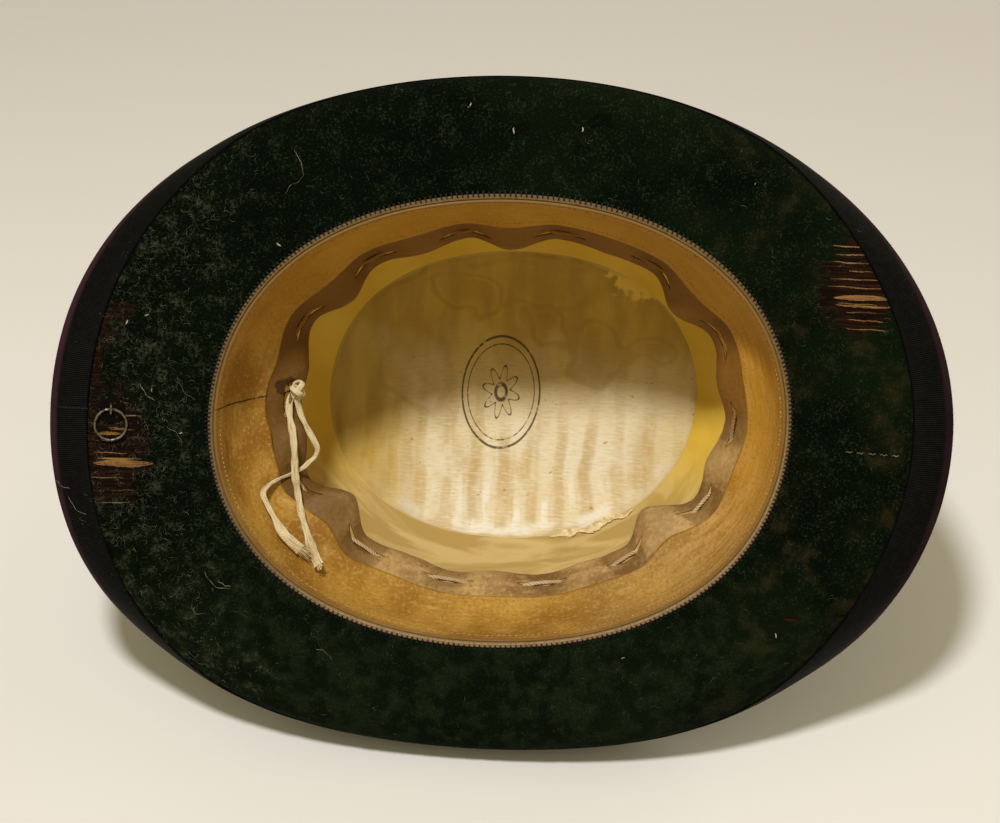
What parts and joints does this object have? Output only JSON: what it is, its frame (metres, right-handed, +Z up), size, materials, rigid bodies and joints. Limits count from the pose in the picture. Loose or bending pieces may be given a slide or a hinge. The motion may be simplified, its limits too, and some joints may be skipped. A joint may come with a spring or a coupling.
{
  "type": "bowler hat",
  "caption": "Hard felt bowler hat with curled brim, bound edge, laced leather sweatband, satin lining and a guard ring under the brim.",
  "frame": {"origin": "on the table under the middle of the hat, which stands crown up", "axes": "+X to the front of the hat, +Y to the wearer's left, +Z up to the crown"},
  "size_m": [0.3038, 0.2382, 0.1334],
  "materials": {
    "felt": "short brushed fur felt",
    "green_cloth": "worn napped cloth",
    "grosgrain": "ribbed grosgrain",
    "black_thread": "waxed thread",
    "tan_thread": "waxed thread",
    "tan_leather": "worn smooth leather",
    "taupe_leather": "thin dull leather",
    "cane": "plain",
    "cream_tape": "woven tape",
    "cotton": "braided cotton",
    "yellow_satin": "satin",
    "cream_satin": "stained satin",
    "black_metal": "worn black enamel",
    "aged_steel": "aged wire"
  },
  "bodies": {
    "hat": {"felt_body": "felt", "underbrim_cloth": "green_cloth", "brim_binding": "grosgrain", "binding_seam": "black_thread", "crown_ribbon": "grosgrain", "bow_loops": "grosgrain", "bow_wrap": "grosgrain", "sweatband_leather": "tan_leather", "back_seam_thread": "tan_thread", "lacing_strip": "taupe_leather", "strip_seam_thread": "tan_thread", "reed": "cane", "reed_tape": "cream_tape", "reed_stitches": "black_thread", "band_stitches": "tan_thread", "drawstring": "cotton", "drawstring_knot": "cotton", "tail_long": "cotton", "tail_short": "cotton", "side_lining": "yellow_satin", "tip_lining": "cream_satin", "guard_washer": "black_metal", "guard_eye": "aged_steel"},
    "ring": {"guard_ring": "aged_steel"}
  },
  "joints": [
    {"name": "ring_swing", "type": "hinge", "parent": "hat", "child": "ring", "pos_m": [-0.13091, 0, 0.00181], "axis": [-0.9659, 0, -0.2588], "range_deg": [0, 180]}
  ]
}
